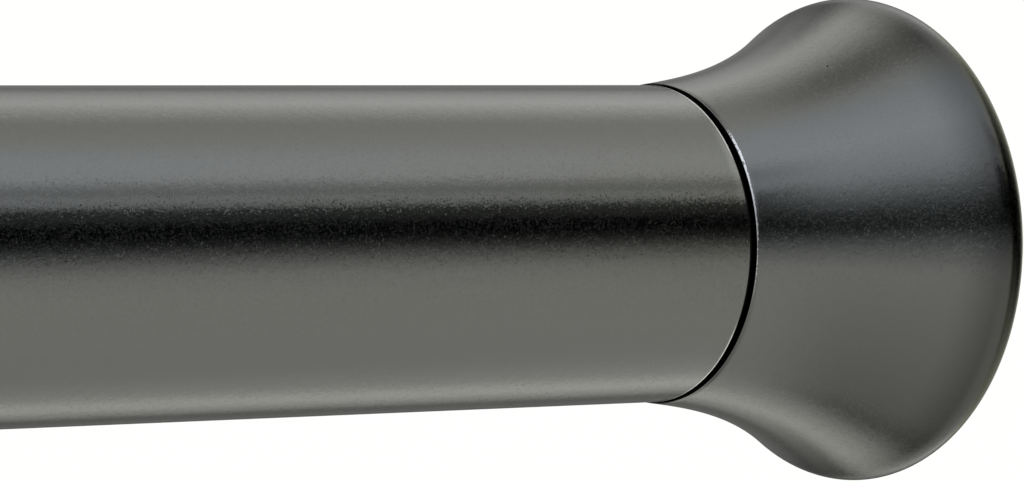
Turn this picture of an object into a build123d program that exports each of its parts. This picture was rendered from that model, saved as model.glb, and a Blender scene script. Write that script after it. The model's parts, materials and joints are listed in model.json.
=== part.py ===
from build123d import *
import math
import os

# Extendable shower curtain rod, pushed fully in. Sizes are in millimetres.
# The rod lies along X: its fixed wall face is at x = 0 and faces +X, and every
# distance down the rod is measured from that face towards -X.

# Tubes
outer_tube_diameter = 25.4
outer_tube_wall = 0.7
outer_tube_length = 993.85
inner_tube_wall = 0.7
inner_tube_shown = 45.25
parked_gap = 10.95

# Mouth collar, the bush between the two tubes
collar_flange = 2.5
collar_step = 0.4
collar_sleeve_length = 25.0
collar_edge_bevel = 0.6

# End caps
cap_length = 23.6
cap_rim_diameter = 39.6
cap_lip_radius = 3.2
cap_flare_angle = 32.7
cap_neck_angle = 7.3
cap_neck_step = 0.15
cap_neck_reach = 5.7
cap_lip_reach = 8.5
cap_mouth_diameter = 30.4
cap_mouth_depth = 5.0
cap_web = 2.5
cap_wall = 2.2
seam_gap = 0.6

# Wall pads
pad_diameter = 33.0
pad_proud = 1.0
pad_spigot_depth = 4.6
pad_spigot_wall = 2.4
pad_groove_diameter = 23.0
pad_groove_width = 2.0
pad_groove_depth = 0.5

# Plugs in the tube ends
plug_length = 22.0
plug_floor = 4.0
plug_wall = 1.8
plug_boss_diameter = 10.0
plug_flange_overlap = 0.2
plug_rib_count = 4
plug_rib_width = 1.6

# Swivel screws and their washers
screw_diameter = 5.0
screw_length = 18.0
screw_head_diameter = 9.6
screw_head_height = 3.4
screw_head_bevel = 1.4
screw_washer_diameter = 13.0
screw_washer_thickness = 1.0

# Twist lock: a split sleeve, spread by a cone nut on the spindle
lock_length = 34.0
lock_tip_wall = 2.45
socket_depth = 26.0
wedge_angle = 10.0
lock_slot_pairs = 2
lock_slot_width = 2.4
lock_slot_depth = 24.0
wedge_length = 20.0
wedge_overhang = 4.0
wedge_travel = 2.25
wedge_key_length = 10.0

# Spindle
thread_diameter = 8.0
spindle_flange_diameter = 16.0
spindle_flange = 3.0
hex_across_flats = 8.0
spigot_diameter = 6.0
tip_length = 1.5
hex_spare = 4.0
thrust_washer_diameter = 18.0
thrust_washer_thickness = 1.0
stop_nut_across_flats = 13.0
stop_nut_height = 4.0

# Tension spring and what it works between
spring_travel = 25.0
spring_length = 52.0
spring_wire = 2.0
spring_wire_sides = 8
spring_turns = 7
spring_runs_per_turn = 18
bush_flange = 3.0
bush_length = 22.0
follower_disc = 6.0
follower_nose = 10.0
follower_nut_across_flats = 10.0
follower_nut_height = 5.0
stop_body_length = 20.0
stop_body_wall = 2.2
stop_nose = 8.0

# Clearances
press_gap = 0.02
running_gap = 0.05
slide_gap = 0.15
tube_gap = 0.9
key_gap = 0.85
spring_gap = 0.9
bush_gap = 0.3
seat_gap = 0.3
clear_hole_gap = 0.3
nose_gap = 0.4

# Sizes that follow from the ones above
outer_radius = outer_tube_diameter / 2
outer_bore_radius = outer_radius - outer_tube_wall
inner_radius = outer_bore_radius - tube_gap
inner_bore_radius = inner_radius - inner_tube_wall
lock_radius = outer_bore_radius - slide_gap
socket_mouth_radius = lock_radius - lock_tip_wall
spring_radius = inner_bore_radius - spring_gap - spring_wire / 2
screw_radius = screw_diameter / 2
thread_radius = thread_diameter / 2
end_fitting_length = pad_proud + cap_length + seam_gap
outer_tube_start = end_fitting_length
outer_tube_end = outer_tube_start + outer_tube_length
collar_face = outer_tube_end + collar_flange
inner_tube_end = collar_face + inner_tube_shown
closed_length = inner_tube_end + end_fitting_length

# Stations of the lock and spring, worked up the rod from the fixed end's plug
spindle_tip = outer_tube_start + plug_length + parked_gap
stop_nut_start = spindle_tip + tip_length
wedge_start = stop_nut_start + stop_nut_height + seat_gap
lock_tip = wedge_start + wedge_overhang
lock_base = lock_tip + lock_length
spindle_flange_start = lock_base + thrust_washer_thickness
spindle_flange_end = spindle_flange_start + spindle_flange
bush_face = spindle_flange_end + hex_spare + spring_travel
inner_tube_start = bush_face + bush_flange
bush_end = inner_tube_start + bush_length
follower_start = bush_end + seat_gap
spring_start = follower_start + follower_disc
follower_nose_end = spring_start + follower_nose
spigot_end = follower_nose_end + follower_nut_height + tip_length
spring_end = spring_start + spring_length
inner_tube_length = inner_tube_end - inner_tube_start

# Planes facing down the rod from each wall
fixed_wall = Plane(origin=(0, 0, 0), x_dir=(0, 1, 0), z_dir=(-1, 0, 0))
moving_wall = Plane(origin=(-closed_length, 0, 0), x_dir=(0, 1, 0), z_dir=(1, 0, 0))

os.makedirs("parts", exist_ok=True)


def profile_plane(wall):
    """The plane for a turned profile: local X runs down the rod, local Y is the radius."""
    return Plane(origin=wall.origin, x_dir=wall.z_dir, z_dir=wall.y_dir)


def rod_axis(wall):
    """The rod's own axis, pointing away from this wall."""
    return Axis(wall.origin, wall.z_dir)


def save(piece, name):
    """Label a finished piece and write it."""
    piece.part.label = name
    export_step(piece.part, f"parts/{name}.step")
    print(f"{name:22s} {piece.part.volume / 1000:9.3f} cm3")


def make_wall_pad(wall, name):
    """Rubber pad: a grooved disc against the wall, with a ring that plugs into the cap."""
    mouth_radius = cap_mouth_diameter / 2
    spigot_radius = mouth_radius - running_gap
    with BuildPart() as wall_pad:
        with BuildSketch(wall):
            Circle(pad_diameter / 2)
        extrude(amount=pad_proud)
        with BuildSketch(wall.offset(pad_proud)):
            Circle(spigot_radius)
            Circle(spigot_radius - pad_spigot_wall, mode=Mode.SUBTRACT)
        extrude(amount=pad_spigot_depth)
        with BuildSketch(wall):
            Circle(pad_groove_diameter / 2 + pad_groove_width / 2)
            Circle(pad_groove_diameter / 2 - pad_groove_width / 2, mode=Mode.SUBTRACT)
        extrude(amount=pad_groove_depth, mode=Mode.SUBTRACT)
    save(wall_pad, name)


def make_end_cap(wall, tube_radius, name):
    """Cast trumpet cap: slim neck at the tube, swept flare, rolled lip and open mouth."""
    neck_radius = tube_radius + cap_neck_step
    neck_edge = pad_proud + cap_length
    lip_centre = (pad_proud + cap_lip_radius, cap_rim_diameter / 2 - cap_lip_radius)
    neck_turn = math.radians(cap_neck_angle)
    flare_turn = math.radians(cap_flare_angle)
    flare_end = (
        lip_centre[0] + cap_lip_radius * math.sin(flare_turn),
        lip_centre[1] + cap_lip_radius * math.cos(flare_turn),
    )
    neck_handle = (
        neck_edge - cap_neck_reach * math.cos(neck_turn),
        neck_radius + cap_neck_reach * math.sin(neck_turn),
    )
    lip_handle = (
        flare_end[0] + cap_lip_reach * math.cos(flare_turn),
        flare_end[1] - cap_lip_reach * math.sin(flare_turn),
    )
    hole_radius = screw_radius + running_gap
    web_face = neck_edge - cap_web
    with BuildPart() as end_cap:
        with BuildSketch(profile_plane(wall)):
            with BuildLine():
                Bezier((neck_edge, neck_radius), neck_handle, lip_handle, flare_end)
                CenterArc(lip_centre, cap_lip_radius, 90 - cap_flare_angle, 90 + cap_flare_angle)
                Polyline(
                    (pad_proud, lip_centre[1]),
                    (pad_proud, cap_mouth_diameter / 2),
                    (pad_proud + cap_mouth_depth, cap_mouth_diameter / 2),
                    (web_face, neck_radius - cap_wall),
                    (web_face, hole_radius),
                    (neck_edge, hole_radius),
                    (neck_edge, neck_radius),
                )
            make_face()
        revolve(axis=rod_axis(wall))
    save(end_cap, name)


def make_screw_washer(wall, name):
    """Washer between the screw head and the cap's web."""
    web_face = pad_proud + cap_length - cap_web
    with BuildPart() as washer:
        with BuildSketch(wall.offset(web_face - screw_washer_thickness)):
            Circle(screw_washer_diameter / 2)
            Circle(screw_radius + clear_hole_gap, mode=Mode.SUBTRACT)
        extrude(amount=screw_washer_thickness)
    save(washer, name)


def make_swivel_screw(wall, name):
    """Pan head screw that holds the cap on the plug and lets the tube turn in it."""
    head_face = pad_proud + cap_length - cap_web - screw_washer_thickness
    head_top = head_face - screw_head_height
    with BuildPart() as screw:
        with BuildSketch(wall.offset(head_top)):
            Circle(screw_head_diameter / 2)
        extrude(amount=screw_head_height)
        chamfer(screw.edges().group_by(rod_axis(wall))[0], length=screw_head_bevel)
        with BuildSketch(wall.offset(head_face)):
            Circle(screw_radius)
        extrude(amount=screw_length)
    save(screw, name)


def make_tube_plug(wall, bore_radius, name):
    """Dark plug pressed into the tube, with a thin flange in the seam and a screw boss."""
    flange_face = pad_proud + cap_length + running_gap
    tube_end = end_fitting_length
    shell_radius = bore_radius - press_gap
    screw_hole = screw_radius + press_gap
    ring_middle = (shell_radius + plug_boss_diameter / 2) / 2
    rib_span = shell_radius - plug_wall / 2 - screw_radius - running_gap
    with BuildPart() as plug:
        with BuildSketch(wall.offset(flange_face)):
            Circle(bore_radius + plug_flange_overlap)
        extrude(amount=tube_end - flange_face)
        with BuildSketch(wall.offset(tube_end)):
            Circle(shell_radius)
        extrude(amount=plug_length)
        with BuildSketch(wall.offset(tube_end + plug_floor)):
            Circle(shell_radius - plug_wall)
            Circle(plug_boss_diameter / 2, mode=Mode.SUBTRACT)
            with PolarLocations(ring_middle, plug_rib_count):
                Rectangle(rib_span, plug_rib_width, mode=Mode.SUBTRACT)
        extrude(amount=plug_length - plug_floor, mode=Mode.SUBTRACT)
        with BuildSketch(wall.offset(flange_face)):
            Circle(screw_hole)
        extrude(amount=screw_length, mode=Mode.SUBTRACT)
    save(plug, name)


def make_end_fittings(wall, tube_radius, bore_radius, side):
    """Everything that one end of the rod carries."""
    make_wall_pad(wall, f"wall_pad_{side}")
    make_end_cap(wall, tube_radius, f"end_cap_{side}")
    make_screw_washer(wall, f"screw_washer_{side}")
    make_swivel_screw(wall, f"swivel_screw_{side}")
    make_tube_plug(wall, bore_radius, f"tube_plug_{side}")


make_end_fittings(fixed_wall, outer_radius, outer_bore_radius, "outer")
make_end_fittings(moving_wall, inner_radius, inner_bore_radius, "inner")

# The two tubes
with BuildPart() as outer_tube:
    with BuildSketch(fixed_wall.offset(outer_tube_start)):
        Circle(outer_radius)
        Circle(outer_bore_radius, mode=Mode.SUBTRACT)
    extrude(amount=outer_tube_length)
save(outer_tube, "outer_tube")

with BuildPart() as inner_tube:
    with BuildSketch(fixed_wall.offset(inner_tube_start)):
        Circle(inner_radius)
        Circle(inner_bore_radius, mode=Mode.SUBTRACT)
    extrude(amount=inner_tube_length)
save(inner_tube, "inner_tube")

# Mouth collar, whose bevelled flange hides the outer tube's cut end
collar_radius = outer_radius + collar_step
with BuildPart() as mouth_collar:
    with BuildSketch(fixed_wall.offset(outer_tube_end)):
        Circle(collar_radius)
    extrude(amount=collar_flange)
    rim_edges = mouth_collar.edges().group_by(Axis.X)[0]
    chamfer(rim_edges, length=collar_edge_bevel)
    with BuildSketch(fixed_wall.offset(outer_tube_end)):
        Circle(outer_bore_radius - press_gap)
    extrude(amount=-collar_sleeve_length)
    with BuildSketch(fixed_wall.offset(collar_face)):
        Circle(inner_radius + running_gap)
    extrude(amount=-collar_flange - collar_sleeve_length, mode=Mode.SUBTRACT)
save(mouth_collar, "mouth_collar")

# Split lock sleeve: a tapered socket, with slots that run in from its tip
wedge_slope = math.tan(math.radians(wedge_angle))
with BuildPart() as lock_sleeve:
    with BuildSketch(profile_plane(fixed_wall)):
        with BuildLine():
            Polyline(
                (lock_tip, socket_mouth_radius),
                (lock_tip + socket_depth, socket_mouth_radius - socket_depth * wedge_slope),
                (lock_tip + socket_depth, thread_radius + clear_hole_gap),
                (lock_base, thread_radius + clear_hole_gap),
                (lock_base, lock_radius),
                (lock_tip, lock_radius),
                close=True,
            )
        make_face()
    revolve(axis=rod_axis(fixed_wall))
    with BuildSketch(fixed_wall.offset(lock_tip)):
        with PolarLocations(0, lock_slot_pairs, angular_range=180):
            Rectangle(outer_tube_diameter, lock_slot_width)
    extrude(amount=lock_slot_depth, mode=Mode.SUBTRACT)
save(lock_sleeve, "lock_sleeve")

# Cone nut, keyed in the sleeve's slots, which the turning spindle draws into the socket
wedge_end = wedge_start + wedge_length
wedge_shift = wedge_travel + slide_gap
with BuildPart() as wedge_nut:
    with BuildSketch(profile_plane(fixed_wall)):
        with BuildLine():
            Polyline(
                (wedge_start, 0),
                (wedge_start, socket_mouth_radius - (wedge_start - lock_tip + wedge_shift) * wedge_slope),
                (wedge_end, socket_mouth_radius - (wedge_end - lock_tip + wedge_shift) * wedge_slope),
                (wedge_end, 0),
                close=True,
            )
        make_face()
    revolve(axis=rod_axis(fixed_wall))
    with BuildSketch(fixed_wall.offset(wedge_start)):
        with PolarLocations(0, lock_slot_pairs, angular_range=180):
            Rectangle(2 * (lock_radius - key_gap), lock_slot_width - 2 * slide_gap)
    extrude(amount=wedge_key_length)
    with BuildSketch(fixed_wall.offset(wedge_start)):
        Circle(thread_radius + running_gap)
    extrude(amount=wedge_length, mode=Mode.SUBTRACT)
save(wedge_nut, "wedge_nut")

# Spindle: threaded tip, thrust flange, hexagon shank and a spigot for the follower
with BuildPart() as spindle:
    with BuildSketch(fixed_wall.offset(spindle_tip)):
        Circle(thread_radius)
    extrude(amount=spindle_flange_start - spindle_tip)
    with BuildSketch(fixed_wall.offset(spindle_flange_start)):
        Circle(spindle_flange_diameter / 2)
    extrude(amount=spindle_flange)
    with BuildSketch(fixed_wall.offset(spindle_flange_end)):
        RegularPolygon(radius=hex_across_flats / 2, side_count=6, major_radius=False)
    extrude(amount=follower_start - spindle_flange_end)
    with BuildSketch(fixed_wall.offset(follower_start)):
        Circle(spigot_diameter / 2)
    extrude(amount=spigot_end - follower_start)
save(spindle, "spindle")


# Washer that takes the spindle's thrust on the lock sleeve's base
with BuildPart() as thrust_washer:
    with BuildSketch(fixed_wall.offset(lock_base)):
        Circle(thrust_washer_diameter / 2)
        Circle(thread_radius + clear_hole_gap, mode=Mode.SUBTRACT)
    extrude(amount=thrust_washer_thickness)
save(thrust_washer, "thrust_washer")


def make_hex_nut(start, height, across_flats, hole_radius, name):
    """A plain hexagon nut on the rod's axis."""
    with BuildPart() as nut:
        with BuildSketch(fixed_wall.offset(start)):
            RegularPolygon(radius=across_flats / 2, side_count=6, major_radius=False)
            Circle(hole_radius, mode=Mode.SUBTRACT)
        extrude(amount=height)
    save(nut, name)


make_hex_nut(stop_nut_start, stop_nut_height, stop_nut_across_flats, thread_radius + press_gap, "stop_nut")

# Guide bush in the inner tube's hidden end, which turns the spindle by its hexagon
with BuildPart() as guide_bush:
    with BuildSketch(fixed_wall.offset(bush_face)):
        Circle(outer_bore_radius - bush_gap)
    extrude(amount=bush_flange)
    with BuildSketch(fixed_wall.offset(inner_tube_start)):
        Circle(inner_bore_radius - press_gap)
    extrude(amount=bush_length)
    with BuildSketch(fixed_wall.offset(bush_face)):
        RegularPolygon(radius=hex_across_flats / 2 + running_gap, side_count=6, major_radius=False)
    extrude(amount=bush_flange + bush_length, mode=Mode.SUBTRACT)
save(guide_bush, "guide_bush")

# Follower on the spindle's spigot, a piston with a nose that centres the spring
nose_radius = spring_radius - spring_wire / 2 - nose_gap
with BuildPart() as spring_follower:
    with BuildSketch(fixed_wall.offset(follower_start)):
        Circle(inner_bore_radius - slide_gap)
    extrude(amount=follower_disc)
    with BuildSketch(fixed_wall.offset(spring_start)):
        Circle(nose_radius)
    extrude(amount=follower_nose)
    with BuildSketch(fixed_wall.offset(follower_start)):
        Circle(spigot_diameter / 2 + press_gap)
    extrude(amount=follower_disc + follower_nose, mode=Mode.SUBTRACT)
save(spring_follower, "spring_follower")

make_hex_nut(
    follower_nose_end,
    follower_nut_height,
    follower_nut_across_flats,
    spigot_diameter / 2 + press_gap,
    "follower_nut",
)


def coil_point(run):
    """Where one short run of the spring's wire starts."""
    coil_start = spring_start + spring_wire / 2 + running_gap
    coil_height = spring_length - spring_wire - 2 * running_gap
    turn = 2 * math.pi * run / spring_runs_per_turn
    down_rod = coil_start + coil_height * run / (spring_turns * spring_runs_per_turn)
    return (-down_rod, spring_radius * math.cos(turn), spring_radius * math.sin(turn))


# Tension spring, wound in short runs of wire between the follower and the stop
with BuildPart() as tension_spring:
    with BuildLine() as coil:
        Polyline(*[coil_point(run) for run in range(spring_turns * spring_runs_per_turn + 1)])
    with BuildSketch(Plane(origin=coil.line @ 0, x_dir=(1, 0, 0), z_dir=coil.line % 0)):
        RegularPolygon(radius=spring_wire / 2, side_count=spring_wire_sides)
    sweep(path=coil.line, transition=Transition.RIGHT)
save(tension_spring, "tension_spring")

# Spring stop, a cup pressed into the inner tube with a nose inside the spring
with BuildPart() as spring_stop:
    with BuildSketch(fixed_wall.offset(spring_end)):
        Circle(inner_bore_radius - press_gap)
    extrude(amount=stop_body_length)
    with BuildSketch(fixed_wall.offset(spring_end)):
        Circle(nose_radius)
    extrude(amount=-stop_nose)
    with BuildSketch(fixed_wall.offset(spring_end + stop_body_wall)):
        Circle(inner_bore_radius - stop_body_wall)
    extrude(amount=stop_body_length - stop_body_wall, mode=Mode.SUBTRACT)
save(spring_stop, "spring_stop")

print(f"closed length {closed_length:.2f} mm, rim diameter {cap_rim_diameter:.1f} mm")
print(f"inner tube starts {inner_tube_start:.2f} mm, spring seat {spring_end:.2f} mm down the rod")
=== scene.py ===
# %% [markdown]
# # An extendable shower curtain rod
# Two tubes slide in each other, a twist lock and a spring hide inside them, and a
# flared cap with a rubber pad meets the wall at each end. The working parts come
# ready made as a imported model. This notebook gives them their finishes, turns
# smoother versions of the round pieces, and lights them like a product picture.

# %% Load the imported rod
import json
import math

import bmesh
import bpy
from mathutils import Matrix, Vector


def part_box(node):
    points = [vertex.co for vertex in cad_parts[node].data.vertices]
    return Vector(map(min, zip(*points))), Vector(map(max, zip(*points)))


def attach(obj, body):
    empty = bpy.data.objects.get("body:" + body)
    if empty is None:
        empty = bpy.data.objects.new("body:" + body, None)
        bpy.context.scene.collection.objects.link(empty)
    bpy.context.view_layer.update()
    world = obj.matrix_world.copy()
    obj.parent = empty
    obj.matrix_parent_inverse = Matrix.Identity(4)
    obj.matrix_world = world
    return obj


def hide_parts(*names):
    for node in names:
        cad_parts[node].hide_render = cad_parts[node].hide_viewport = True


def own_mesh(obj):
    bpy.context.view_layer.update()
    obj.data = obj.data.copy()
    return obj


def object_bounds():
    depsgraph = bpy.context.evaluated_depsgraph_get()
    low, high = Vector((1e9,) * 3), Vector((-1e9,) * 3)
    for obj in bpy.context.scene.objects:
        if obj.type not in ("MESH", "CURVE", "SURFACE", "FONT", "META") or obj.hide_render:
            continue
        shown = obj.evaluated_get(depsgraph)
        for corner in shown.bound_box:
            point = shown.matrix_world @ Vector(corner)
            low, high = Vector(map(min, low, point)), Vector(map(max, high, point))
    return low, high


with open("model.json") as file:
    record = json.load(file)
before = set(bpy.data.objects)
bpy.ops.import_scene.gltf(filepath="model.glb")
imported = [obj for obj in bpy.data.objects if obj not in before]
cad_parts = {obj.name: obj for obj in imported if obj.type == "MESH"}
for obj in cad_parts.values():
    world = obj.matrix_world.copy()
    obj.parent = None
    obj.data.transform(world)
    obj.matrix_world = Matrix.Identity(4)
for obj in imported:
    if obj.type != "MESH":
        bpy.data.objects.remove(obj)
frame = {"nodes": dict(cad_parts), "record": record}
cad_low, cad_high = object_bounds()
nodes = frame["nodes"]
bodies = frame["record"]["behaviour"]["bodies"]
body_of_node = {node: body for body, members in bodies.items() for node in members}
print("pieces:", len(nodes), "length:", round(cad_high.x - cad_low.x, 4))

# %% [markdown]
# ## The sizes that the looks need
# Blender works in metres, so a millimetre is a named value. Every place along the
# rod is a distance from the wall face at x = 0, which is how the rod is drawn too.
# The tubes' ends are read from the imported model, so they can't drift apart. The
# neck of a cap stands a little proud of its tube, with a tiny chamfer on its edge.

# %% Sizes
mm = 0.001
outer_tube_radius = 12.7 * mm
inner_tube_radius = 11.1 * mm
tube_wall = 0.7 * mm
pad_proud = 1.0 * mm
cap_length = 23.6 * mm
cap_rim_radius = 19.8 * mm
neck_step = 0.15 * mm
neck_chamfer = 0.09 * mm
neck_edge = pad_proud + cap_length
closed_length = -cad_low.x
outer_tube_start = -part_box("outer_tube")[1].x
outer_tube_end = -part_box("outer_tube")[0].x
inner_tube_start = -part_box("inner_tube")[1].x
inner_tube_end = -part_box("inner_tube")[0].x
print("outer tube from", round(outer_tube_start, 5), "to", round(outer_tube_end, 5))
print("inner tube from", round(inner_tube_start, 5), "to", round(inner_tube_end, 5))

# %% [markdown]
# ## Shader maths as plain expressions
# A finish is a graph of small nodes. Wiring each one by hand hides the idea, so one
# class wraps an output socket and lets Python's own operators add the Math nodes.
# One method makes every other kind of node.

# %% A small language for node graphs
class Value:
    """One output of a node graph, which can be used in sums."""

    def __init__(self, graph, socket):
        self.graph = graph
        self.socket = socket

    def calc(self, operation, *others):
        """Any Math node, with this value in its first socket."""
        sockets = dict(enumerate((self, *others)))
        return self.graph.node("ShaderNodeMath", sockets, operation=operation)

    def __add__(self, other):
        return self.calc("ADD", other)

    __radd__ = __add__

    def __mul__(self, other):
        return self.calc("MULTIPLY", other)

    __rmul__ = __mul__

    def __sub__(self, other):
        return self.calc("SUBTRACT", other)

    def __rsub__(self, other):
        return self.graph.node("ShaderNodeMath", {0: other, 1: self}, operation="SUBTRACT")

    def __truediv__(self, other):
        return self.calc("DIVIDE", other)

    def __rtruediv__(self, other):
        return self.graph.node("ShaderNodeMath", {0: other, 1: self}, operation="DIVIDE")

    def __abs__(self):
        return self.calc("ABSOLUTE")

    def other(self, name):
        """Another output of the same node."""
        return Value(self.graph, self.socket.node.outputs[name])

    def over(self, low, high):
        """0 below low and 1 above high, with a smooth turn between them."""
        return self.graph.node(
            "ShaderNodeMapRange",
            {"Value": self, "From Min": low, "From Max": high},
            interpolation_type="SMOOTHSTEP",
        )


class Graph:
    """The node tree of one material or world."""

    def __init__(self, tree):
        self.tree = tree
        tree.nodes.clear()

    def node(self, kind, sockets=(), output=0, stops=(), **settings):
        """Any node: its settings and stops come first, then its sockets' values or links."""
        made = self.tree.nodes.new(kind)
        for key, value in settings.items():
            setattr(made, key, value)
        if stops:
            self.set_stops(made.color_ramp, stops)
        for name, value in dict(sockets).items():
            self.feed(made.inputs[name], value)
        return Value(self, made.outputs[output] if made.outputs else made)

    def set_stops(self, ramp, stops):
        """Give a ramp its places and colours."""
        while len(ramp.elements) < len(stops):
            ramp.elements.new(1.0)
        for element, (place, color) in zip(ramp.elements, stops):
            element.position = place
            element.color = (*color, 1.0)

    def feed(self, socket, value):
        """Link a value to a socket, or set a plain number or colour on it."""
        if isinstance(value, Value):
            self.tree.links.new(value.socket, socket)
        else:
            socket.default_value = value

    def blend(self, factor, first, second):
        """A colour between two colours."""
        sockets = {0: factor, 6: first, 7: second}
        return self.node("ShaderNodeMix", sockets, output=2, data_type="RGBA")

    def vector(self, operation, first, second, output=0):
        """Maths on two vectors or colours."""
        sockets = {0: first, 1: second}
        return self.node("ShaderNodeVectorMath", sockets, output=output, operation=operation)

    def tint(self, color, by):
        """A colour multiplied by another."""
        return self.vector("MULTIPLY", color, by)

    def position(self):
        """The point on the piece, in its own metres."""
        return self.node("ShaderNodeTexCoord", output="Object")

    def axes(self, vector):
        """X, Y and Z of a vector."""
        return [self.node("ShaderNodeSeparateXYZ", {"Vector": vector}, output=axis) for axis in "XYZ"]

    def noise(self, place, scale, detail=2.0):
        """Soft noise round 0.5, whose lumps are about 1 / scale metres across."""
        sockets = {"Vector": place, "Scale": scale, "Detail": detail}
        return self.node("ShaderNodeTexNoise", sockets, output="Fac")

    def bump(self, height, depth):
        """A normal for a height from 0 to 1 and its depth in metres."""
        sockets = {"Height": height, "Distance": depth, "Strength": 1.0}
        return self.node("ShaderNodeBump", sockets, output="Normal")


def new_material(name):
    """An empty material and its graph."""
    material = bpy.data.materials.new(name)
    material.use_nodes = True
    return material, Graph(material.node_tree)


def new_finish(name, **values):
    """A material with one Principled shader. Returns the material, its graph and the shader node."""
    material, graph = new_material(name)
    sockets = {key.replace("_", " "): value for key, value in values.items()}
    shader = graph.node("ShaderNodeBsdfPrincipled", sockets)
    graph.node("ShaderNodeOutputMaterial", {"Surface": shader})
    return material, graph, shader.socket.node


def grey(level, warm=0.0):
    """A grey that leans warm or, below 0, cool."""
    return (level * (1 + warm), level, level * (1 - warm), 1.0)


# %% [markdown]
# ## The camera
# The picture was taken close to one end, with the rod running away to the left. Its
# place was worked out from the tube's two edges and the curve of the seam, so it is
# given as a distance from the rod, a turn towards the wall and a small roll. A round
# rod looks the same from any height, so the height is free: from above, the white
# floor becomes the background.

# %% Camera from the picture's own numbers
picture_width = 1024
focal_pixels = 6026.0
sensor_width = 36.0
camera_distance = 374.74 * mm
camera_behind_seam = 304.48 * mm
camera_turn = 0.6597
camera_pitch = 0.001
camera_roll = -0.02113
camera_height_angle = math.radians(30)


def place_camera():
    """Put the camera where the picture was taken from."""
    look = Vector((math.sin(camera_turn), math.cos(camera_turn), math.tan(camera_pitch))).normalized()
    side = Vector((math.cos(camera_turn), -math.sin(camera_turn), 0))
    up = side.cross(look)
    right = math.cos(camera_roll) * side + math.sin(camera_roll) * up
    top = math.cos(camera_roll) * up - math.sin(camera_roll) * side
    turned = Matrix.Rotation(-camera_height_angle, 4, "X")
    axes = Matrix((right, top, -look)).transposed().to_4x4()
    spot = Vector((-outer_tube_start - camera_behind_seam, -camera_distance, 0))
    data = bpy.data.cameras.new("camera")
    data.sensor_width = sensor_width
    data.lens = focal_pixels * sensor_width / picture_width
    data.clip_start = 0.01
    camera = bpy.data.objects.new("camera", data)
    camera.matrix_world = turned @ Matrix.Translation(spot) @ axes
    bpy.context.scene.collection.objects.link(camera)
    bpy.context.scene.camera = camera
    return camera


camera = place_camera()
print("lens", round(camera.data.lens, 1), "mm, camera at", [round(c, 3) for c in camera.location])

# %% [markdown]
# ## Floor, world and the light tent
# Satin metal has almost no colour of its own: it shows the room. A photographer hangs
# a bright rod in a tent of white cloth, and what the cloth does along the rod is what
# the eye reads as its shape. The world here is plain white and the floor is pale. The
# tent is a wide sleeve of cloth round the rod that only reflections can see. It glows
# as each side of it would: a dark slot in front, where the camera looks in, soft seams
# above and below, and a dim end beyond the wall cap. Its upper front is a little blue,
# as cloth by a window is. Its far end is a little yellow, and its lower back too, by
# a fifth as much.

# %% World and floor
world = bpy.data.worlds.new("white room")
bpy.context.scene.world = world
world.use_nodes = True
world_graph = Graph(world.node_tree)
white_room = world_graph.node("ShaderNodeBackground", {"Color": (1, 1, 1, 1), "Strength": 1.0})
world_graph.node("ShaderNodeOutputWorld", {"Surface": white_room})
bpy.context.scene.view_settings.view_transform = "Standard"

floor_drop = 150 * mm
floor_half = 30.0
floor_color = (0.88, 0.885, 0.86, 1)
floor_glow = 1.12
floor_glow_share = 0.4


def add_stage(name, verts, faces, material):
    """A thing that only lights or carries the picture, and isn't part of the rod."""
    mesh = bpy.data.meshes.new(name)
    mesh.from_pydata(verts, [], faces)
    mesh.materials.append(material)
    thing = bpy.data.objects.new(name, mesh)
    bpy.context.scene.collection.objects.link(thing)
    return thing


def make_floor():
    """A matt floor that glows a little to the camera, and so keeps a soft shadow."""
    material, graph = new_material("pale floor")
    matt = graph.node("ShaderNodeBsdfDiffuse", {"Color": floor_color})
    white = graph.node("ShaderNodeEmission", {"Color": (1, 1, 1, 1), "Strength": floor_glow})
    seen = graph.node("ShaderNodeLightPath", output="Is Camera Ray")
    mixed = graph.node("ShaderNodeMixShader", {0: seen * floor_glow_share, 1: matt, 2: white})
    graph.node("ShaderNodeOutputMaterial", {"Surface": mixed})
    quarters = ((-1, -1), (1, -1), (1, 1), (-1, 1))
    corners = [(x * floor_half, y * floor_half, -floor_drop) for x, y in quarters]
    return add_stage("floor", corners, [(0, 1, 2, 3)], material)


floor = make_floor()
floor.visible_glossy = False
print("floor at", -floor_drop)

# %% [markdown]
# ### What the cloth shows
# A place on the tent is an angle round the rod, 0 in front at the rod's height and 90
# straight above, and a distance along it. Three rings of light describe it: beside the
# tube, beside the flare and beyond the end. Each is a list of angles with the light
# there, tuned until the stripes on the round metal lie where the photograph has them,
# and the cloth fades from each ring to the next. A pair of numbers says where along an
# axis, in metres, the cloth begins to change and where it is done.

# %% The tent
tent_radius = 0.9
tent_ends = (-3.2, 5.0)
tent_strips = 96
tube_ring = [
    (-120, 0.17), (-114, 0.44), (-108, 0.66), (-102, 0.99), (-96, 1.12), (-84, 0.87),
    (-64, 0.82), (-30, 0.93), (0, 0.95), (14, 0.86), (20, 0.64), (25, 0.44),
    (30, 0.22), (36, 0.04), (43, 0.00), (50, 0.01), (55, 0.10), (60, 0.04),
    (64, 0.68), (69, 0.94), (73, 0.53), (78, 0.82), (84, 1.27), (98, 1.25),
    (110, 1.06), (122, 0.89), (134, 0.78), (146, 1.05), (158, 1.19), (172, 0.69),
    (186, 0.24), (210, 0.25),
]
flare_ring = [
    (-120, 0.00), (-108, 0.00), (-97, 1.31), (-86, 1.05), (-72, 0.27), (-60, 0.49),
    (-40, 0.60), (0, 0.78), (14, 0.85), (25, 0.48), (35, 0.03), (44, 0.09),
    (54, 0.51), (64, 1.02), (84, 1.33), (98, 1.19), (112, 0.91), (121, 0.46),
    (130, 0.45), (146, 1.26), (156, 1.38), (170, 0.00), (186, 0.07), (210, 0.14),
]
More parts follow.
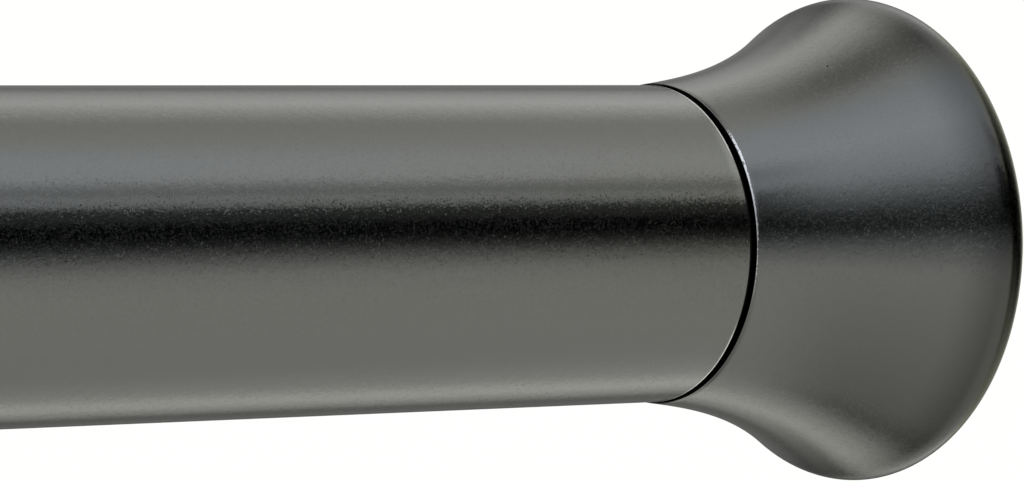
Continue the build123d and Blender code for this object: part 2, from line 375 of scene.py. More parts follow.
end_ring = [
    (-150, 0.50), (-128, 0.42), (-108, 0.42), (-60, 0.60), (-30, 0.44), (10, 0.12),
    (24, 0.00), (34, 0.00), (56, 0.00), (74, 0.00), (96, 0.12), (120, 0.33),
    (140, 0.42), (166, 0.52), (196, 0.60), (210, 0.50),
]
tent_brightest = 1.4
ring_seam = -150
flare_fade = (0.1, 0.55)
end_fade = (0.9, 1.4)
dim_fade = (1.4, 4.0)
dimmed_away = 0.7
window_tint = (0.93, 0.975, 1.12)
window_end = (0.5, 1.05)
window_height = (0.1, 0.6)
window_back = (0.15, 0.45)
lamplight_tint = (1.03, 1.04, 0.84)
lamplight_end = (0.88, 1.2)
lower_side = (0.2, 0.6)
back_side = (-0.2, 0.1)
back_share = 0.22


def ring_light(graph, angle, ring):
    """The light of one ring at an angle from -150 to 210 degrees."""
    stops = [((degrees - ring_seam) / 360, [light / tent_brightest] * 3) for degrees, light in ring]
    return graph.node("ShaderNodeValToRGB", {"Fac": angle}, stops=stops, output="Color")


def hide_from_all_but_reflections(thing):
    """Let only glossy rays meet a thing."""
    thing.visible_camera = False
    thing.visible_diffuse = False
    thing.visible_transmission = False
    thing.visible_volume_scatter = False
    thing.visible_shadow = False


def make_tent():
    """A sleeve of glowing cloth strips along the rod."""
    verts = []
    for step in range(tent_strips):
        angle = 2 * math.pi * step / tent_strips
        y = -tent_radius * math.cos(angle)
        z = tent_radius * math.sin(angle)
        verts += [(tent_ends[0], y, z), (tent_ends[1], y, z)]
    count = len(verts)
    faces = [(2 * s, 2 * s + 1, (2 * s + 3) % count, (2 * s + 2) % count) for s in range(tent_strips)]
    material, graph = new_material("tent cloth")
    material.cycles.emission_sampling = "NONE"
    x, y, z = graph.axes(graph.position())
    level, tilt = math.cos(camera_height_angle), math.sin(camera_height_angle)
    forward = z * tilt - y * level
    upward = z * level + y * tilt
    angle = upward.calc("ARCTAN2", forward) / (2 * math.pi) + 0.5
    beside_flare = 1 - x.over(*flare_fade)
    beyond_end = x.over(*end_fade)
    tube_light = ring_light(graph, angle, tube_ring)
    flare_light = ring_light(graph, angle, flare_ring)
    end_light = ring_light(graph, angle, end_ring)
    light = graph.blend(beyond_end, graph.blend(beside_flare, tube_light, flare_light), end_light)
    cool = (1 - x.over(*window_end)) * z.over(*window_height) * (1 - y.over(*window_back))
    lower_back = (0 - z).over(*lower_side) * y.over(*back_side)
    warm = x.over(*lamplight_end).calc("MAXIMUM", lower_back * back_share)
    cooled = graph.blend(cool, light, graph.tint(light, window_tint))
    tinted = graph.blend(warm, cooled, graph.tint(cooled, lamplight_tint))
    dim = 1 - x.over(*dim_fade) * dimmed_away
    glow = graph.node("ShaderNodeEmission", {"Color": tinted, "Strength": dim * tent_brightest})
    graph.node("ShaderNodeOutputMaterial", {"Surface": glow})
    tent = add_stage("light_tent", verts, faces, material)
    hide_from_all_but_reflections(tent)
    return tent


def make_end_flap():
    """The dark flap that closes the tent behind the wall."""
    material, graph = new_material("dark flap")
    black = graph.node("ShaderNodeEmission", {"Color": (0.02, 0.02, 0.02, 1), "Strength": 1.0})
    graph.node("ShaderNodeOutputMaterial", {"Surface": black})
    angles = [2 * math.pi * step / tent_strips for step in range(tent_strips)]
    verts = [(tent_ends[1], tent_radius * math.cos(a), tent_radius * math.sin(a)) for a in angles]
    flap = add_stage("end_flap", verts, [tuple(range(tent_strips))], material)
    hide_from_all_but_reflections(flap)
    return flap


tent = make_tent()
flap = make_end_flap()
print("tent of", len(tent.data.polygons), "strips, flap of", len(flap.data.vertices), "corners")

# %% Soft lamp for the plastic and rubber
lamp_data = bpy.data.lights.new("soft_lamp", "AREA")
lamp_data.shape = "RECTANGLE"
lamp_data.size = 1.6
lamp_data.size_y = 0.8
lamp_data.energy = 3.0
lamp = bpy.data.objects.new("soft_lamp", lamp_data)
lamp.location = (-0.4, -0.7, 1.2)
lamp.rotation_euler = (math.radians(30), 0, 0)
lamp.visible_camera = False
lamp.visible_glossy = False
bpy.context.scene.collection.objects.link(lamp)
print("soft lamp of", round(lamp_data.energy, 1), "watts at", [round(c, 2) for c in lamp.location])

# %% [markdown]
# ## Satin gunmetal
# Both tubes and both caps have one dark satin finish. It is a metallic coat, so the
# shader is all metal with a dark grey colour, and the light does the rest. Up close the
# coat holds fine flakes a tenth of a millimetre across, which sparkle in the dark stripe
# and drown in the bright ones. A Voronoi texture picks one cell in three as a flake and
# rolls it a few degrees about the rod, because the coat was sprayed on as the rod
# turned. Two noises, a slow flow and a quicker ripple, add the softer unevenness of a
# coat that has flowed. All these heights are in millimetres and go into one bump.

# %% Satin finish
flake_scale = 10000.0
flake_share = 0.35
flake_slope = 0.11
flow_scale = 1100.0
flow_height = 0.010
ripple_scale = 3000.0
ripple_height = 0.0045
patch_scale = 60.0
patch_roughness = 0.04
bare_roughness = 0.18
bare_metal = (0.66, 0.66, 0.63, 1)


def flakes(graph, place):
    """Height in millimetres of the cells that lie at a slope of their own."""
    cell = graph.node("ShaderNodeTexVoronoi", {"Vector": place, "Scale": flake_scale}, output="Position")
    offset = graph.vector("SUBTRACT", place, cell)
    slope = graph.vector("SUBTRACT", cell.other("Color"), (0.5, 0.5, 0.5))
    rolled = graph.tint(slope, (0, flake_slope / mm, flake_slope / mm))
    rise = graph.vector("DOT_PRODUCT", offset, rolled, output="Value")
    chosen = graph.axes(cell.other("Color"))[0].calc("GREATER_THAN", 1 - flake_share)
    return rise * chosen


def make_satin(name, color, roughness, bare=None, shade=None):
    """A satin coat. One function masks bare metal and the painted light near the seam and colours it,
    another masks the painted shade on the lip.
    """
    material, graph, shader = new_finish(name, Base_Color=color, Metallic=1.0, Roughness=roughness)
    place = graph.position()
    flow = graph.noise(place, flow_scale, 2.0) * flow_height
    ripple = graph.noise(place, ripple_scale, 1.0) * ripple_height
    graph.feed(shader.inputs["Normal"], graph.bump(flakes(graph, place) + (flow + ripple), mm))
    rough = graph.noise(place, patch_scale, 3.0) * patch_roughness + (roughness - patch_roughness / 2)
    # Painted shade: the colour is darkened where the shade mask says.
    if shade:
        darker = tuple(c * lip_shade_share for c in color[:3]) + (1,)
        color = graph.blend(shade(graph, place), color, darker)
        graph.feed(shader.inputs["Base Color"], color)
    # Bare metal is real wear; the worn cap's mask also paints shade black on the face inside the seam's
    # gap.
    if bare:
        mask, color_under = bare(graph, place)
        color = graph.blend(mask, color, color_under)
        graph.feed(shader.inputs["Base Color"], color)
        rough = rough + mask * bare_roughness
    graph.feed(shader.inputs["Roughness"], rough)
    return material


print("flakes", round(1 / flake_scale / mm, 2), "mm across")

# %% [markdown]
# ### Where the coat has worn, and where light and shade are painted
# Two edges meet at the seam and rub. On the cap's neck a ragged sliver of bare metal
# runs round the upper front, and the tube's cut edge shows a thin bright line. Just
# behind that line a painted highlight lightens the tube's upper front a little. The
# neck's flat face in the gap is painted black as shade, and the lip carries painted
# shade, where the colour is half as light. All are masks worked out from the distance
# to the edge in millimetres and the angle round the rod in degrees, so they stay with
# the piece. A pair of numbers says where a mask begins to change and where it is done.

# %% Worn edges, a painted highlight and painted shade
sliver_begins = (4, 26)
sliver_widens = (28, 36)
sliver_is_wide = (50, 62)
sliver_ends = (69, 75)
sliver_width = 0.05
sliver_gains = (0.06, 0.10)
cut_line = (0.13, 0.20)
cut_line_shows = (28, 38)
# A painted highlight just behind the tube's cut edge, on its upper front.
highlight_begins = (38, 50)
highlight_ends = (68, 80)
highlight_reach = (0.3, 1.0)
highlight_share = 0.10
pit_place = (-12.38 * mm, 0.47 * mm, 15.86 * mm)
pit_edge = (0.10, 0.18)
# Painted shade on both lips, where the coat's colour is half as light.
lip_shade_fade = (4.0, 8.6)
lip_shade_share = 0.5
# The black of the painted shade in the seam's gap, also used for the pit.
gap_shade_color = (0.003, 0.003, 0.003, 1)


def turn_angle(graph, y, z):
    """Degrees round the rod: 0 in front and 90 on top."""
    return z.calc("ARCTAN2", 0 - y) * (180 / math.pi)


def neck_wear_and_shade(graph, place):
    """The sliver of bare metal, the painted shade that blacks the face inside the gap, and one small pit.
    """
    x, y, z = graph.axes(place)
    degrees = turn_angle(graph, y, z)
    wider = degrees.over(*sliver_widens) * sliver_gains[0] + degrees.over(*sliver_is_wide) * sliver_gains[1]
    width = wider + sliver_width
    ragged = (graph.noise(place, 5000.0, 3.0) - 0.5) * 0.30
    into_cap = (x + neck_edge) / mm + ragged
    near_edge = 1 - (into_cap - width).over(-0.03, 0.03)
    present = degrees.over(*sliver_begins) * (1 - degrees.over(*sliver_ends))
    streaks = 1 - graph.noise(place, 3500.0, 2.0).over(0.52, 0.60) * degrees.over(50, 60)
    radius = (y * y + z * z).calc("SQRT") / mm
    neck = (outer_tube_radius + neck_step) / mm
    outside = radius.over(neck - 0.08, neck - 0.04)
    # Painted shade: the neck's face inside the gap is made black.
    gap_shade_mask = (1 - outside) * (1 - into_cap.over(0.3, 0.5))
    from_pit = graph.vector("DISTANCE", place, pit_place, output="Value") / mm
    dark = gap_shade_mask.calc("MAXIMUM", 1 - from_pit.over(*pit_edge))
    under = graph.blend(dark, bare_metal, gap_shade_color)
    return (near_edge * present * streaks * outside).calc("MAXIMUM", dark), under


def tube_end_wear_and_highlight(graph, place):
    """The bright line of bare metal on the tube's cut edge, and a painted highlight behind it."""
    x, y, z = graph.axes(place)
    degrees = turn_angle(graph, y, z)
    from_end = (0 - x - outer_tube_start) / mm
    ragged = (graph.noise(place, 4000.0, 2.0) - 0.5) * 0.08
    near_edge = 1 - (from_end + ragged).over(*cut_line)
    from_camera_side = abs(degrees - math.degrees(camera_height_angle))
    line = near_edge * from_camera_side.over(*cut_line_shows)
    # Painted highlight: a tenth of bare metal's colour on the upper front behind the edge.
    painted_highlight = (1 - from_end.over(*highlight_reach)) * degrees.over(*highlight_begins) * (1 - degrees.over(*highlight_ends))
    return line.calc("MAXIMUM", painted_highlight * highlight_share), bare_metal


def painted_lip_shade(graph, place):
    """Painted shade: 1 at both lips of the rod, and 0 from the middle of each flare to the neck."""
    x = graph.axes(place)[0]
    from_wall = (0 - x.calc("MAXIMUM", 0 - x - closed_length)) / mm
    return 1 - from_wall.over(*lip_shade_fade)


satin_color = (0.151, 0.154, 0.139, 1)
# The tube's finish carries a painted highlight behind its cut edge. Both caps carry painted shade at the
# lip, and the worn cap painted shade in the seam's gap.
satin_tube = make_satin("satin tube", satin_color, 0.115, tube_end_wear_and_highlight)
satin_cap = make_satin("satin cap", satin_color, 0.15, shade=painted_lip_shade)
satin_cap_worn_and_shaded = make_satin("satin cap worn and shaded", satin_color, 0.15, neck_wear_and_shade, painted_lip_shade)
print("satin finishes:", [finish.name for finish in (satin_tube, satin_cap, satin_cap_worn_and_shaded)])

# %% [markdown]
# ## The other finishes
# The plugs are matt black plastic and show only as a dark line in the seam, so they
# hardly shine. Pads are rubber with a dusty bloom, the hidden lock is natural nylon,
# and the fasteners are bright zinc plate that has dulled in patches.

# %% Plastic and rubber
def make_moulded(name, color, roughness, depth, scale, shine=0.5):
    """Plastic or rubber with a fine grain from its mould."""
    material, graph, shader = new_finish(name, Roughness=roughness, Specular_IOR_Level=shine)
    place = graph.position()
    grain = graph.noise(place, scale, 3.0)
    graph.feed(shader.inputs["Normal"], graph.bump(grain, depth))
    patch = graph.noise(place, 40.0, 2.0)
    graph.feed(shader.inputs["Roughness"], patch * 0.12 + (roughness - 0.06))
    paler = tuple(min(1.0, c * 1.25) for c in color[:3]) + (1,)
    bloom = graph.noise(place, 220.0, 4.0) * 0.7
    graph.feed(shader.inputs["Base Color"], graph.blend(bloom, color, paler))
    return material


black_plastic = make_moulded("black plastic", grey(0.004), 0.7, 0.01 * mm, 2500.0, shine=0.08)
collar_plastic = make_moulded("collar plastic", grey(0.03), 0.5, 0.01 * mm, 2500.0)
rubber = make_moulded("pad rubber", grey(0.03, 0.02), 0.75, 0.03 * mm, 1800.0, shine=0.3)
nylon = make_moulded("natural nylon", (0.68, 0.66, 0.58, 1), 0.45, 0.01 * mm, 1500.0)
print("moulded finishes:", [finish.name for finish in (black_plastic, collar_plastic, rubber, nylon)])


# %% Plated steel
def make_plated(name, color, roughness):
    """Plated or bare steel whose shine has dulled in patches."""
    material, graph, shader = new_finish(name, Base_Color=color, Metallic=1.0, Roughness=roughness)
    place = graph.position()
    tarnish = graph.noise(place, 350.0, 3.0)
    dull = tuple(c * 0.72 for c in color[:3]) + (1,)
    graph.feed(shader.inputs["Base Color"], graph.blend(tarnish.over(0.4, 0.7), color, dull))
    graph.feed(shader.inputs["Roughness"], tarnish * 0.2 + (roughness - 0.1))
    graph.feed(shader.inputs["Normal"], graph.bump(graph.noise(place, 3000.0), 0.004 * mm))
    return material


zinc = make_plated("bright zinc", (0.62, 0.63, 0.62, 1), 0.3)
spring_steel = make_plated("spring steel", (0.34, 0.34, 0.35, 1), 0.35)

plain_finish = {
    "collar_plastic": collar_plastic,
    "pad_rubber": rubber,
    "plug_plastic": black_plastic,
    "lock_plastic": nylon,
    "plated_steel": zinc,
    "spring_steel": spring_steel,
    "satin_tube": satin_tube,
    "satin_cap": satin_cap,
}
slot_of_node = {row["node"]: row["material_slot"] for row in frame["record"]["subparts"]}
for node, piece in nodes.items():
    piece.data.materials.clear()
    piece.data.materials.append(plain_finish[slot_of_node[node]])
print("finishes:", len(bpy.data.materials))

# %% [markdown]
# ## Turning round pieces
# Nearly every piece of a rod is round, so it is made the way a lathe makes it: half an
# outline is spun about the rod's axis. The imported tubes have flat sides, because they
# are long and their facets are few, and a flat side breaks a reflection at once. A
# turned copy with many more steps has the same sizes and a clean reflection. A point of
# the outline may also be a function of the angle, which is how the lathe cuts hexagons,
# threads and a cross recess.

# %% A lathe
def station(distance, from_far_wall=False):
    """The x of a place on the rod, by its distance from a wall."""
    return distance - closed_length if from_far_wall else -distance


def at_angle(value, angle):
    """A number, or what a function says at this angle."""
    return value(angle) if callable(value) else value


def soften(corners, steps=4):
    """Points of an outline whose corners (distance, radius, rounding) are rounded."""
    points = []
    count = len(corners)
    for index, (along, out, rounding) in enumerate(corners):
        here = Vector((along, out))
        before = Vector(corners[index - 1][:2]) - here
        after = Vector(corners[(index + 1) % count][:2]) - here
        if rounding <= 0 or before.length < 1e-9 or after.length < 1e-9:
            points.append((along, out))
            continue
        half_turn = before.angle(after) / 2
        reach = min(rounding / math.tan(half_turn), before.length / 2, after.length / 2)
        start = here + before.normalized() * reach
        end = here + after.normalized() * reach
        for step in range(steps + 1):
            t = step / steps
            spot = start * (1 - t) ** 2 + here * 2 * t * (1 - t) + end * t**2
            points.append(tuple(spot))
    return points


def turn(name, outline, finish, node, far=False, segments=192, sharp=35):
    """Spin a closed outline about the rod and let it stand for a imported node."""
    rings = []
    verts = []
    for along, out in outline:
        if not callable(out) and out < 1e-6:
            rings.append([len(verts)] * segments)
            verts.append((station(at_angle(along, 0), far), 0, 0))
            continue
        rings.append(list(range(len(verts), len(verts) + segments)))
        for step in range(segments):
            angle = 2 * math.pi * step / segments
            x = station(at_angle(along, angle), far)
            radius = at_angle(out, angle)
            verts.append((x, radius * math.cos(angle), radius * math.sin(angle)))
    faces = []
    for ring, after in zip(rings, rings[1:] + rings[:1]):
        for step in range(segments):
            following = (step + 1) % segments
            corners = [ring[step], ring[following], after[following], after[step]]
            face = list(dict.fromkeys(corners))
            if len(face) > 2:
                faces.append(face)
    mesh = bpy.data.meshes.new(name)
    mesh.from_pydata(verts, [], faces)
    tidy(mesh, sharp)
    return hang(mesh, name, finish, node)


def tidy(mesh, sharp):
    """Close, orient and smooth a mesh, and keep its sharp edges sharp."""
    made = bmesh.new()
    made.from_mesh(mesh)
    bmesh.ops.remove_doubles(made, verts=made.verts, dist=1e-7)
    bmesh.ops.recalc_face_normals(made, faces=made.faces)
    made.to_mesh(mesh)
    made.free()
    mesh.shade_smooth()
    mesh.set_sharp_from_angle(angle=math.radians(sharp))


def hang(mesh, name, finish, node):
    """Put a mesh in the scene, on the body of the node that it stands for."""
    mesh.materials.append(finish)
    piece = bpy.data.objects.new(name, mesh)
    bpy.context.scene.collection.objects.link(piece)
    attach(piece, body_of_node[node])
    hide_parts(node)
    return piece


def arc(centre, radius, start, sweep, steps):
    """Points on a circle, by angles in degrees."""
    angles = [math.radians(start + sweep * step / steps) for step in range(steps + 1)]
    return [(centre[0] + radius * math.cos(a), centre[1] + radius * math.sin(a)) for a in angles]


def bezier(first, pull, push, last, steps):
    """Points on a curve with two handles."""
    points = []
    for step in range(steps + 1):
        t = step / steps
        shares = ((1 - t) ** 3, 3 * t * (1 - t) ** 2, 3 * t**2 * (1 - t), t**3)
        pulls = list(zip(shares, (first, pull, push, last)))
        points.append(tuple(sum(share * spot[axis] for share, spot in pulls) for axis in (0, 1)))
    return points


def reach_of(node, far=False):
    """Where a node starts and ends, by distance from its wall, and its radius."""
    low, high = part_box(node)
    places = sorted((closed_length + x if far else -x) for x in (low.x, high.x))
    return places[0], places[1], (high.z - low.z) / 2


# %% [markdown]
# ## The two tubes
# Each tube is thin steel sheet rolled round and cut to length. Its outline is four
# corners, and each corner is rounded by the little that brushing takes off a cut edge,
# because a perfectly sharp edge would catch no light in the seam.

# %% The two tubes
cut_edge = 0.07 * mm


def make_tube(name, start, end, radius):
    """A tube between two distances from the fixed wall."""
    bore = radius - tube_wall
    places = ((start, radius), (end, radius), (end, bore), (start, bore))
    corners = [(along, out, cut_edge) for along, out in places]
    return turn(name + "_turned", soften(corners), satin_tube, name, segments=256)


outer_tube = make_tube("outer_tube", outer_tube_start, outer_tube_end, outer_tube_radius)
inner_tube = make_tube("inner_tube", inner_tube_start, inner_tube_end, inner_tube_radius)
print("tube faces", len(outer_tube.data.polygons))

# %% [markdown]
# ## The end caps
# Each cap is a small casting like the bell of a trumpet. One curve with two handles
# makes the flare, an arc rolls it over into the lip, and a tiny chamfer breaks the
# neck's edge at the seam. Inside it is hollow up to a web that the swivel screw holds.

# %% The end caps
lip_radius = 3.2 * mm
flare_angle = 32.7
neck_angle = 7.3
neck_reach = 5.7 * mm
lip_reach = 8.5 * mm
mouth_radius = 15.2 * mm
mouth_depth = 5.0 * mm
cap_web = 2.5 * mm
cap_wall = 2.2 * mm
screw_hole = 2.55 * mm


def make_cap(name, tube_radius, finish, far):
    """A flared cap: its neck, flare and lip, and back through the hollow to the seam."""
    neck_radius = tube_radius + neck_step
    lip_centre = (pad_proud + lip_radius, cap_rim_radius - lip_radius)
    lean = math.radians(neck_angle)
    flare = math.radians(flare_angle)
    flare_end = (lip_centre[0] + lip_radius * math.sin(flare), lip_centre[1] + lip_radius * math.cos(flare))
    neck = (neck_edge, neck_radius)
    pull = (neck[0] - neck_reach * math.cos(lean), neck[1] + neck_reach * math.sin(lean))
    push = (flare_end[0] + lip_reach * math.cos(flare), flare_end[1] - lip_reach * math.sin(flare))
    web_face = neck_edge - cap_web
    outline = (
        bezier(neck, pull, push, flare_end, 48)[1:]
        + arc(lip_centre, lip_radius, 90 - flare_angle, 90 + flare_angle, 32)[1:]
        + [
            (pad_proud, mouth_radius),
            (pad_proud + mouth_depth, mouth_radius),
            (web_face, neck_radius - cap_wall),
            (web_face, screw_hole),
            (neck_edge, screw_hole),
            (neck_edge, neck_radius - neck_chamfer),
            (neck_edge - neck_chamfer * 0.35, neck_radius - neck_chamfer * 0.4),
            (neck_edge - neck_chamfer, neck_radius + neck_chamfer * 0.1),
        ]
    )
    return turn(name + "_turned", outline, finish, name, far, segments=256)


cap_outer = make_cap("end_cap_outer", outer_tube_radius, satin_cap_worn_and_shaded, False)
cap_inner = make_cap("end_cap_inner", inner_tube_radius, satin_cap, True)
print("cap faces", len(cap_outer.data.polygons))

# %% [markdown]
# ## Wall pads
# A rubber disc takes the wall's thrust, and a ring behind it plugs into the cap. Its
# face has one wide groove and fine ribs, which grip like a tyre. They are part of the
# outline, because a bump alone would leave the pad's edge smooth.

# %% Wall pads
pad_radius = 16.5 * mm
spigot_radius = 15.15 * mm
spigot_bore = 12.75 * mm
spigot_end = 5.6 * mm
rib_depth = 0.15 * mm
groove_depth = 0.5 * mm
rib_places = [r * mm for r in (2, 3, 4, 5, 6, 7, 8, 9, 14, 15)]
groove_span = (10.5 * mm, 12.5 * mm)


def grip_face():
    """The pad's ribbed face, from its middle outwards."""
    dips = [(r - 0.28 * mm, r + 0.28 * mm, rib_depth) for r in rib_places]
    dips.append((*groove_span, groove_depth))
    points = [(0, 0)]
    for inner, outer, depth in sorted(dips):
        slope = depth * 0.6
        points += [(0, inner), (depth, inner + slope), (depth, outer - slope), (0, outer)]
    return points


def make_pad(node, far):
    """A ribbed disc with the ring that plugs into the cap."""
    rim = [
        (0, pad_radius - 0.3 * mm, 0),
        (0, pad_radius, 0.2 * mm),
        (pad_proud, pad_radius, 0.2 * mm),
        (pad_proud, spigot_radius, 0.05 * mm),
        (spigot_end, spigot_radius, 0.4 * mm),
        (spigot_end, spigot_bore, 0.4 * mm),
        (pad_proud, spigot_bore, 0.3 * mm),
        (pad_proud, spigot_bore - 1.0 * mm, 0),
    ]
    outline = grip_face() + soften(rim) + [(pad_proud, 0)]
    return turn(node + "_turned", outline, rubber, node, far, segments=128, sharp=30)


pads = [make_pad("wall_pad_outer", False), make_pad("wall_pad_inner", True)]
print("pad faces", len(pads[0].data.polygons))

# %% [markdown]
# ## Mouth collar
# The larger tube ends in a plastic bush that the smaller tube slides through. Its rim
# is a little proud of the tube and bevelled, and its long sleeve is out of sight.

# %% Mouth collar
collar_start, collar_face, collar_radius = reach_of("mouth_collar")
collar_bore = inner_tube_radius + 0.05 * mm
collar_sleeve = outer_tube_radius - tube_wall - 0.02 * mm
collar_bevel = 0.6 * mm
collar_outline = soften(
    [
        (collar_start, collar_bore, 0.1 * mm),
        (collar_start, collar_sleeve, 0.3 * mm),
        (outer_tube_end, collar_sleeve, 0),
        (outer_tube_end, collar_radius, 0.1 * mm),
        (collar_face - collar_bevel, collar_radius, 0.25 * mm),
        (collar_face, collar_radius - collar_bevel, 0.25 * mm),
        (collar_face, collar_bore, 0.2 * mm),
    ]
)
mouth_collar = turn("mouth_collar_turned", collar_outline, collar_plastic, "mouth_collar", segments=192)
print("collar from", round(collar_start, 5), "to", round(collar_face, 5))

# %% [markdown]
# ## Threads, hexagons and the cross recess
# These three shapes are not round, but each is a radius or a depth that follows the
# angle. A thread's ridge climbs one pitch for each turn, and fades at its two ends.

# %% Shapes that follow the angle
thread_depth = 0.55
thread_ridge = 1.3
recess_half_arm = 0.55 * mm
recess_depth = 1.7 * mm
recess_reach = 2.6 * mm
recess_slope = 0.2 * mm
corner_rows = 5
corner_row_depth = 0.028
corner_face = 0.97
corner_slope = 1.73


def thread(start, end, radius, pitch, rows_per_turn=10):
    """Rings of a screw thread whose crests lie on the given radius."""
    depth = pitch * thread_depth
    count = round((end - start) / pitch * rows_per_turn)

    def ring(place):
        fade = min(1.0, (place - start) / pitch, (end - place) / pitch)

        def radius_at(angle):
            phase = (place / pitch - angle / (2 * math.pi)) % 1
            ridge = min(1.0, thread_ridge * (1 - abs(2 * phase - 1)))
            return radius - depth * fade * (1 - ridge)

        return (place, radius_at)

    return [ring(start + (end - start) * row / count) for row in range(count + 1)]


def hexagon(apothem, limit=None):
    """The radius of a hexagon at an angle, held under a cone where a limit is given."""

    def radius_at(angle):
        flat = apothem / math.cos(angle % (math.pi / 3) - math.pi / 6)
        return flat if limit is None else min(flat, limit)

    return radius_at


def hexagon_block(start, end, apothem):
    """Rings of a hexagon bar whose corners are cut back by a cone at both ends."""
    rings = []
    for row in range(corner_rows):
        depth = apothem * corner_row_depth * row
        cone = apothem * corner_face + depth * corner_slope
        rings.append((start + depth, hexagon(apothem, cone)))
    mirrored = [(end - (place - start), radius) for place, radius in reversed(rings)]
    return rings + mirrored


def cross_recess(face, radius):
    """The place of a screw head's face at one radius, sunk along four arms."""

    def place_at(angle):
        across = radius * min(abs(math.sin(angle)), abs(math.cos(angle)))
        inside = max(0.0, min(1.0, (recess_half_arm - across) / recess_slope + 0.5))
        return face + recess_depth * max(0.0, 1 - radius / recess_reach) * inside

    return place_at


# %% [markdown]
# ## Screws, washers and nuts
# One screw holds each cap to its tube's plug and lets it swivel. Its bevelled head
# shows when a pad is off, so it has a real cross recess and a real thread. Washers are four
# rounded corners, and nuts are hexagons with a bore.

# %% Swivel screws
screw_pitch = 0.8 * mm
screw_radius = 2.5 * mm
head_height = 3.4 * mm
head_bevel = 1.4 * mm


def make_screw(node, far):
    """A bevelled head with a cross recess, and a threaded shank."""
    start, end, head = reach_of(node, far)
    under_head = start + head_height
    outline = [(start + recess_depth, 0)]
    outline += [(cross_recess(start, r * 0.3 * mm), r * 0.3 * mm) for r in range(1, 10)]
    outline += soften(
        [
            (start, head - head_bevel * 1.2, 0),
            (start, head - head_bevel, 0.5 * mm),
            (start + head_bevel, head, 0.8 * mm),
            (under_head, head, 0.2 * mm),
            (under_head, screw_radius, 0),
        ]
    )
    outline += thread(under_head + 2 * mm, end - 0.6 * mm, screw_radius, screw_pitch, 8)
    outline += [(end, screw_radius * 0.7), (end, 0)]
    return turn(node + "_turned", outline, zinc, node, far, segments=64, sharp=40)


screws = [make_screw("swivel_screw_outer", False), make_screw("swivel_screw_inner", True)]
print("screw faces", len(screws[0].data.polygons))


# %% Washers and nuts
def make_washer(node, hole, far=False):
    """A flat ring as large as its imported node, with rounded corners."""
    start, end, radius = reach_of(node, far)
    corners = [
        (start, hole, 0.08 * mm),
        (end, hole, 0.08 * mm),
        (end, radius, 0.25 * mm),
        (start, radius, 0.25 * mm),
    ]
    return turn(node + "_turned", soften(corners), zinc, node, far, segments=96)


def make_nut(node, apothem, hole):
    """A hexagon with cut corners, whose bore opens at both ends."""
    start, end, _ = reach_of(node)
    cut = 0.4 * mm
    rings = [(start, hole + cut)] + hexagon_block(start, end, apothem) + [(end, hole + cut)]
    rings += [(end - cut, hole), (start + cut, hole)]
    return turn(node + "_turned", rings, zinc, node, segments=96, sharp=25)


thread_radius = 4.0 * mm
spigot_thread = 3.0 * mm
press_gap = 0.02 * mm
clear_gap = 0.3 * mm
washers = [
    make_washer("screw_washer_outer", screw_radius + clear_gap),
    make_washer("thrust_washer", thread_radius + clear_gap),
    make_washer("screw_washer_inner", screw_radius + clear_gap, far=True),
]
nuts = [
    make_nut("stop_nut", 6.5 * mm, thread_radius + press_gap),
    make_nut("follower_nut", 5.0 * mm, spigot_thread + press_gap),
]
print("washers", len(washers), "nuts", len(nuts))

# %% [markdown]
# ## Spindle
# Turning one tube in the other turns this long screw by its hexagon. It draws the cone
# into the split sleeve and locks the rod. From its tip it has a thread, a thrust
# flange, the hexagon that slides in the guide bush, and a threaded spigot.

# %% Spindle
spindle_start, spindle_end, flange_radius = reach_of("spindle")
flange_start = reach_of("thrust_washer")[1]
flange_end = flange_start + 3.0 * mm
hexagon_apothem = 4.0 * mm
hexagon_end = reach_of("spring_follower")[0]
tip_cut = 0.8 * mm
spindle_outline = [(spindle_start, 0), (spindle_start, thread_radius - tip_cut)]
spindle_outline += thread(spindle_start + tip_cut, flange_start - 1.0 * mm, thread_radius, 1.5 * mm)
spindle_outline += soften(
    [
        (flange_start, thread_radius, 0),
        (flange_start, flange_radius, 0.4 * mm),
        (flange_end, flange_radius, 0.4 * mm),
        (flange_end, thread_radius * 1.2, 0),
    ]
)
spindle_outline += hexagon_block(flange_end, hexagon_end, hexagon_apothem)
spindle_outline += [(hexagon_end, spigot_thread)]
spindle_outline += thread(reach_of("follower_nut")[0], spindle_end - 0.5 * mm, spigot_thread, 1.0 * mm)
spindle_outline += [(spindle_end, spigot_thread * 0.8), (spindle_end, 0)]
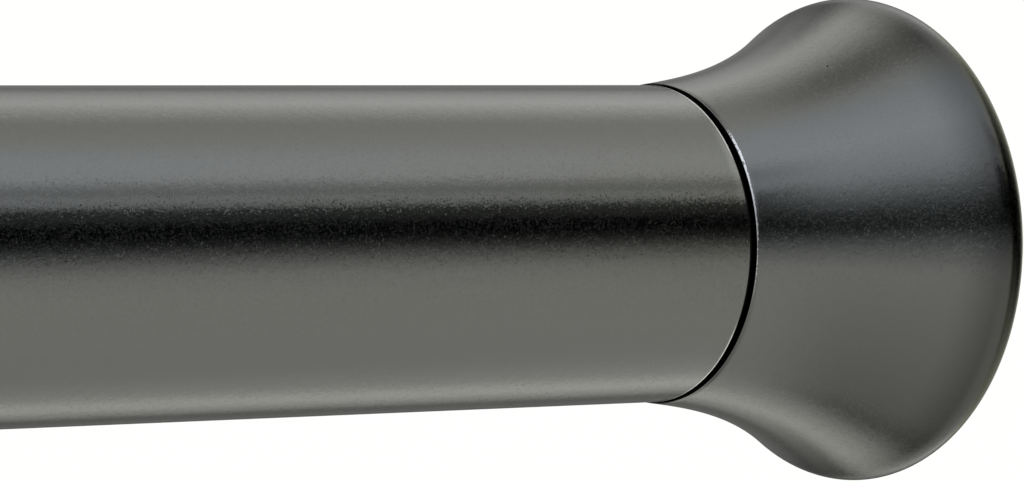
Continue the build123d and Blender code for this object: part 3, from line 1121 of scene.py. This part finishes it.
spindle = turn("spindle_turned", spindle_outline, zinc, "spindle", segments=48, sharp=35)
print("spindle faces", len(spindle.data.polygons))

# %% [markdown]
# ## Tension spring
# Round wire wound on a helix. The loop walks along the helix and lays a circle of
# points at each step, in the plane of the rod's axis. When the rod is pressed between
# walls the spring shortens towards its stop, from 52 to 27 mm; here it is wound at its
# free length.

# %% Tension spring
wire_radius = 1.0 * mm
spring_turns = 7
steps_per_turn = 48
wire_sides = 14
spring_low, spring_high, _ = reach_of("tension_spring")
wire_clear = 0.05 * mm
coil_radius = 8.5 * mm
free_length = 52
follower_flange = 6.0 * mm
follower_end = reach_of("spring_follower")[0] + follower_flange
stop_face = follower_end + free_length * mm


def coil_ring(step):
    """A circle of points round the wire at one step of the helix."""
    angle = 2 * math.pi * step / steps_per_turn
    seat = wire_radius + wire_clear
    climb = (stop_face - follower_end - 2 * seat) * step / (spring_turns * steps_per_turn)
    outward = Vector((0, math.cos(angle), math.sin(angle)))
    middle = Vector((-(follower_end + seat + climb), 0, 0)) + coil_radius * outward
    along_rod = Vector((1, 0, 0))
    points = []
    for side in range(wire_sides):
        turned = 2 * math.pi * side / wire_sides
        spoke = math.cos(turned) * outward + math.sin(turned) * along_rod
        points.append(tuple(middle + wire_radius * spoke))
    return points


def make_spring():
    """The coil, wound from the follower to the stop."""
    count = spring_turns * steps_per_turn + 1
    verts = [point for step in range(count) for point in coil_ring(step)]
    faces = []
    for step in range(count - 1):
        for side in range(wire_sides):
            following = (side + 1) % wire_sides
            here = step * wire_sides
            there = here + wire_sides
            faces.append((here + side, here + following, there + following, there + side))
    faces.append(tuple(range(wire_sides)))
    faces.append(tuple(range((count - 1) * wire_sides, count * wire_sides)))
    mesh = bpy.data.meshes.new("tension_spring_wound")
    mesh.from_pydata(verts, [], faces)
    tidy(mesh, 50)
    spring = hang(mesh, "tension_spring_wound", spring_steel, "tension_spring")
    -stop_face
    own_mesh(spring)
    return spring


spring = make_spring()
print("spring faces", len(spring.data.polygons), "from", round(spring_low, 5), "to", round(spring_high, 5))
